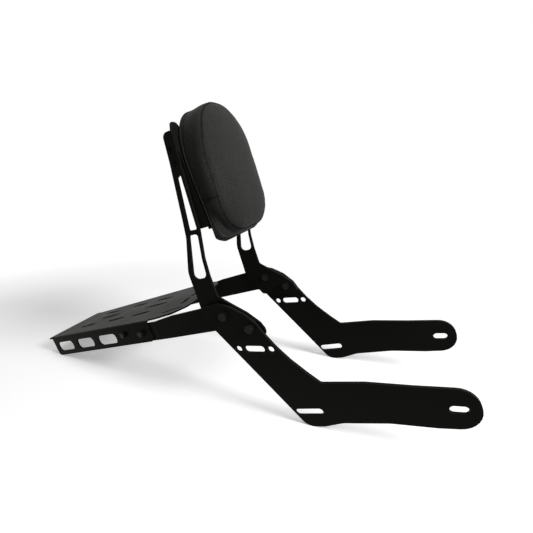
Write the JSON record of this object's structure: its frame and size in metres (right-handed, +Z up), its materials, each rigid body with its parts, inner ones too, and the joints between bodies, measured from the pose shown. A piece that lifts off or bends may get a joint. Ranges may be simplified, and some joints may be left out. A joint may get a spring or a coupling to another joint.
{
  "type": "motorcycle backrest with luggage rack",
  "caption": "Padded passenger backrest on two side uprights, with cranked slotted mounting plates and a slotted luggage rack behind.",
  "frame": {"origin": "centre of the bounding box at floor level, with the set standing on its two elbows and the rear corners of the rack", "axes": "+X to the front of the motorcycle, +Y to its left side, +Z up"},
  "size_m": [0.856, 0.2184, 0.5007],
  "materials": {
    "frame_coat": "satin black powder coat",
    "rack_coat": "satin black powder coat, lit from above",
    "pad_cover": "matt black grained vinyl",
    "pad_board": "matt black moulded board",
    "fastener_black": "black oxide steel",
    "zinc_steel": "zinc plated"
  },
  "bodies": {
    "root": {"mount_plate_right": "frame_coat", "mount_plate_left": "frame_coat", "upright_right": "frame_coat", "upright_left": "frame_coat", "rack_arm_right": "frame_coat", "rack_arm_left": "frame_coat", "rack_plate": "rack_coat", "pad_bracket": "frame_coat", "pad_board": "pad_board", "pad_cushion": "pad_cover", "main_bolts_right": "fastener_black", "main_bolts_left": "fastener_black", "main_washers_right": "fastener_black", "main_washers_left": "fastener_black", "main_nuts_right": "fastener_black", "main_nuts_left": "fastener_black", "rack_bolts_right": "fastener_black", "rack_bolts_left": "fastener_black", "rack_washers_right": "fastener_black", "rack_washers_left": "fastener_black", "rack_nuts_right": "fastener_black", "rack_nuts_left": "fastener_black", "bracket_screws_right": "fastener_black", "bracket_screws_left": "fastener_black", "bracket_nuts_right": "fastener_black", "bracket_nuts_left": "fastener_black", "pad_screws": "fastener_black", "pad_washers": "fastener_black", "pad_tee_nuts": "zinc_steel"}
  },
  "joints": []
}
